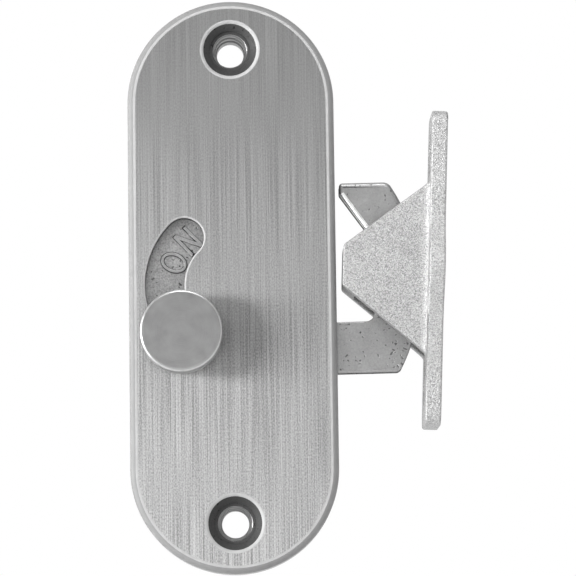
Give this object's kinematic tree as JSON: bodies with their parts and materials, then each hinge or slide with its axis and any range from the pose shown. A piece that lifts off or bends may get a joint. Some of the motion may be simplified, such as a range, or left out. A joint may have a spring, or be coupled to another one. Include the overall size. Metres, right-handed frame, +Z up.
{
  "type": "sliding door lock",
  "caption": "Surface-mounted lock for a sliding door: slim case with a knob-driven turning hook, and the cast keeper that the hook closes behind.",
  "frame": {"origin": "centre of the case's back face, on the axis that the hook turns about", "axes": "+Y out of the back towards the door, so the front faces -Y; +Z up along the case; +X towards the keeper"},
  "size_m": [0.0699, 0.0255, 0.125],
  "materials": {
    "brushed_face": "brushed along its length, rounded rim polished",
    "satin_case": "satin",
    "turned_steel": "turned, satin",
    "cast_hook": "cast, lightly ground, with small pits",
    "blasted_keeper": "cast and blasted, matt",
    "spring_steel": "bright spring steel",
    "bearing_bronze": "sintered bronze, plain"
  },
  "bodies": {
    "case": {"face_plate": "brushed_face", "housing": "satin_case", "back_plate": "satin_case", "back_screw_1": "turned_steel", "back_screw_2": "turned_steel", "back_screw_3": "turned_steel", "back_screw_4": "turned_steel", "upper_screw_sleeve": "turned_steel", "lower_screw_sleeve": "turned_steel", "pivot_pin": "turned_steel", "spring_washer": "spring_steel"},
    "hook": {"hook": "cast_hook", "pivot_bush": "bearing_bronze", "front_washer": "turned_steel", "knob": "turned_steel", "knob_screw": "turned_steel"},
    "keeper": {"keeper": "blasted_keeper"}
  },
  "joints": [
    {"name": "hook_turn", "type": "hinge", "parent": "case", "child": "hook", "pos_m": [0, -0.00525, 0], "axis": [0, 1, 0], "range_deg": [0, 90]},
    {"name": "keeper_play", "type": "slide", "parent": "case", "child": "keeper", "axis": [1, 0, 0], "range_m": [-0.0009, 0.0018]}
  ]
}
